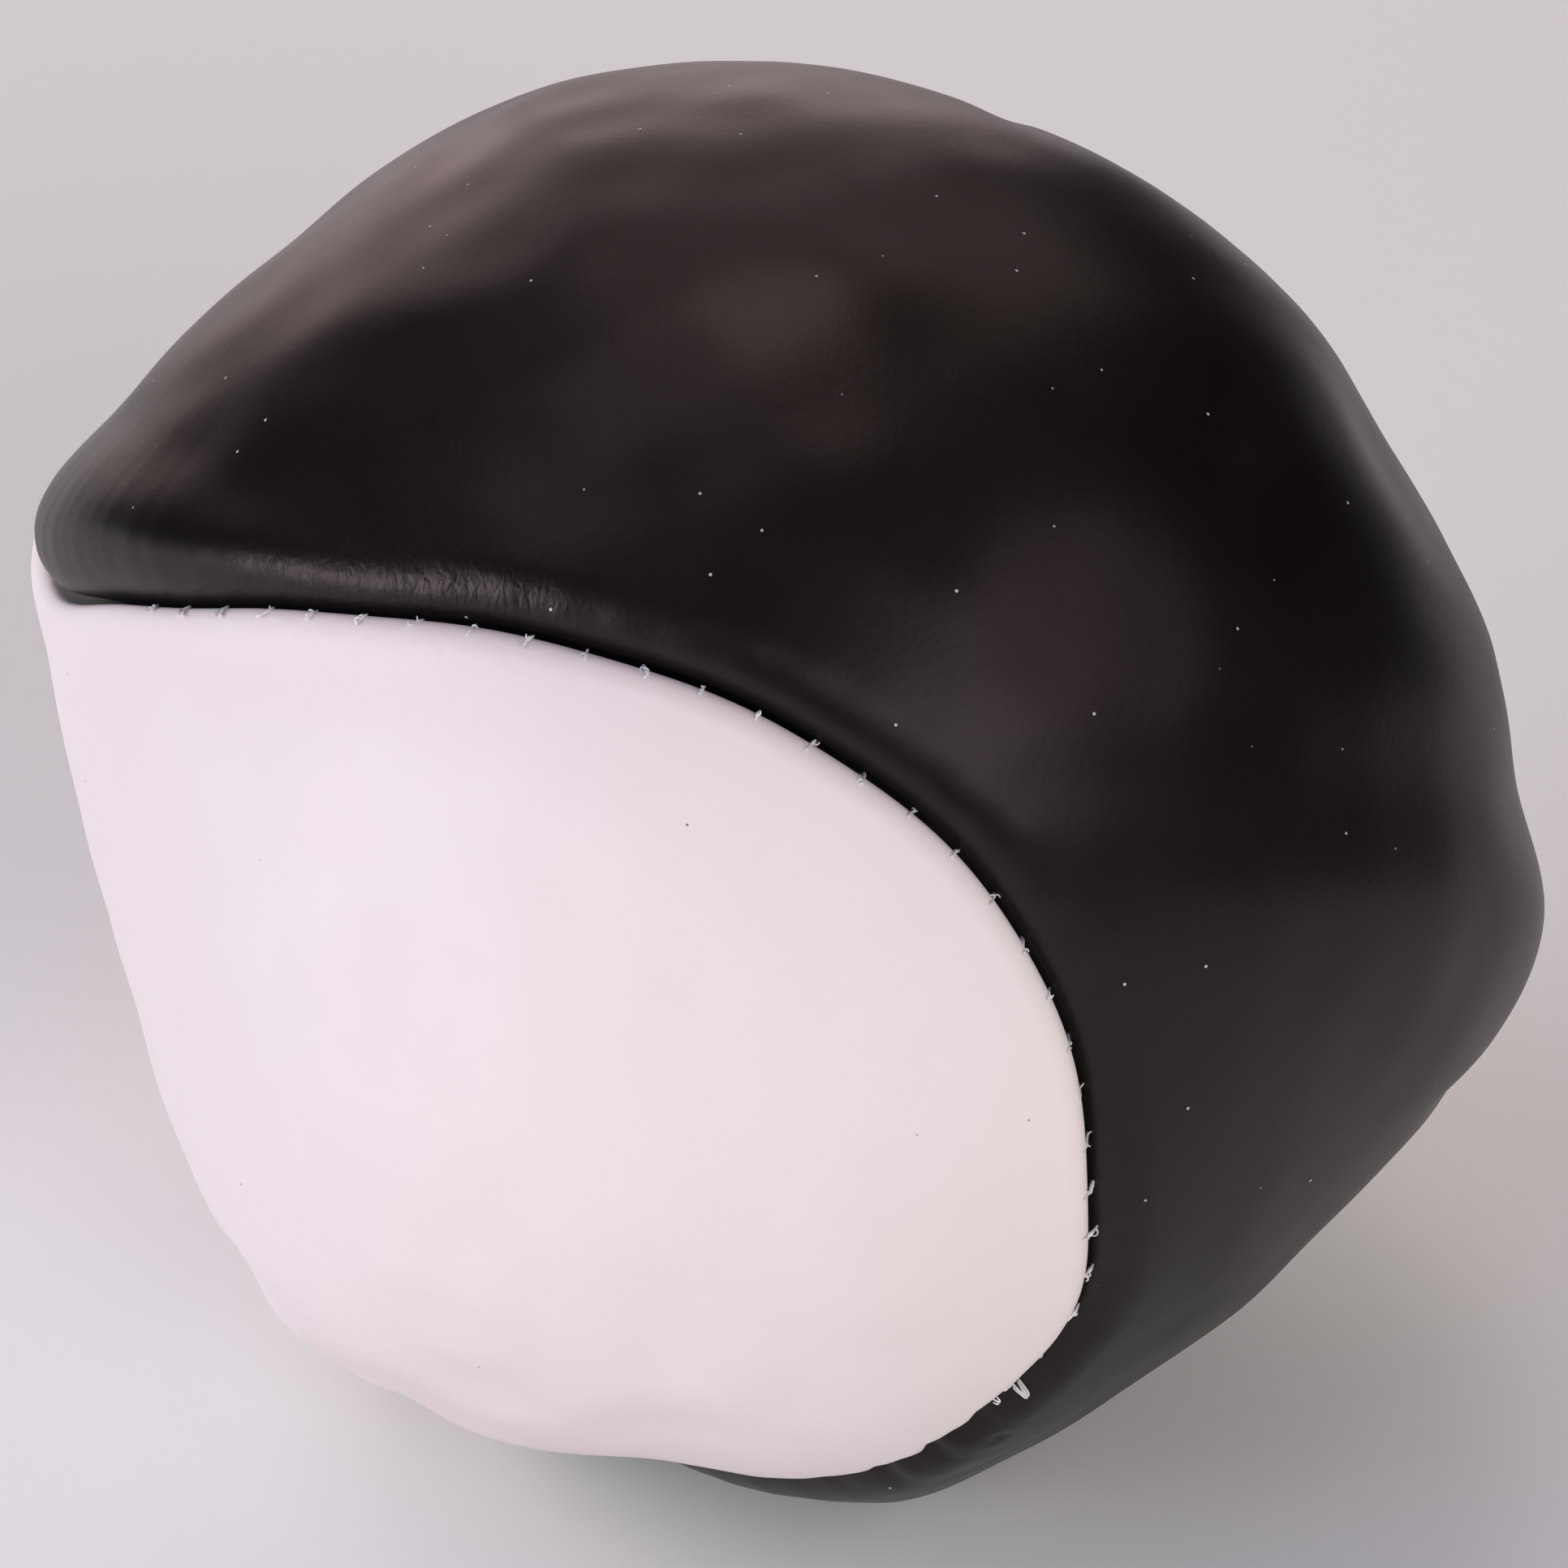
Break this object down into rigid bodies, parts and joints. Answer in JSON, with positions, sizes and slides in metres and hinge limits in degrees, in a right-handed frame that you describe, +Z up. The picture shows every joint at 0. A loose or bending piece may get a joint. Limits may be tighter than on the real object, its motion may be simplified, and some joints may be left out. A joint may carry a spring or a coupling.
{
  "type": "footbag",
  "caption": "Round pellet-filled footbag sewn from two interlocking dumbbell-shaped faux leather panels, one black and one white, resting on a small settled flat",
  "frame": {"origin": "The middle of the flat that the bag rests on, straight below the bag's centre", "axes": "+Z is up, +X is the right side as pictured, and +Y points away from the viewer"},
  "size_m": [0.0571, 0.054, 0.052],
  "materials": {
    "black_leather": "smooth black polyurethane faux leather with a fine grain and a soft sheen",
    "white_leather": "smooth off-white polyurethane faux leather with a fine grain and a soft sheen",
    "nylon_thread": "translucent white nylon sewing thread",
    "plastic_pellets": "milky polyethylene pellets"
  },
  "bodies": {
    "root": {"black_panel": "black_leather", "white_panel": "white_leather", "needle_thread": "nylon_thread", "bobbin_thread": "nylon_thread", "closing_thread": "nylon_thread", "pellet_fill": "plastic_pellets", "pellet_01": "plastic_pellets", "pellet_02": "plastic_pellets", "pellet_03": "plastic_pellets", "pellet_04": "plastic_pellets", "pellet_05": "plastic_pellets", "pellet_06": "plastic_pellets", "pellet_07": "plastic_pellets", "pellet_08": "plastic_pellets", "pellet_09": "plastic_pellets", "pellet_10": "plastic_pellets", "pellet_11": "plastic_pellets", "pellet_12": "plastic_pellets", "pellet_13": "plastic_pellets", "pellet_14": "plastic_pellets", "pellet_15": "plastic_pellets", "pellet_16": "plastic_pellets", "pellet_17": "plastic_pellets", "pellet_18": "plastic_pellets", "pellet_19": "plastic_pellets", "pellet_20": "plastic_pellets", "pellet_21": "plastic_pellets", "pellet_22": "plastic_pellets", "pellet_23": "plastic_pellets", "pellet_24": "plastic_pellets", "pellet_25": "plastic_pellets", "pellet_26": "plastic_pellets"}
  },
  "joints": []
}
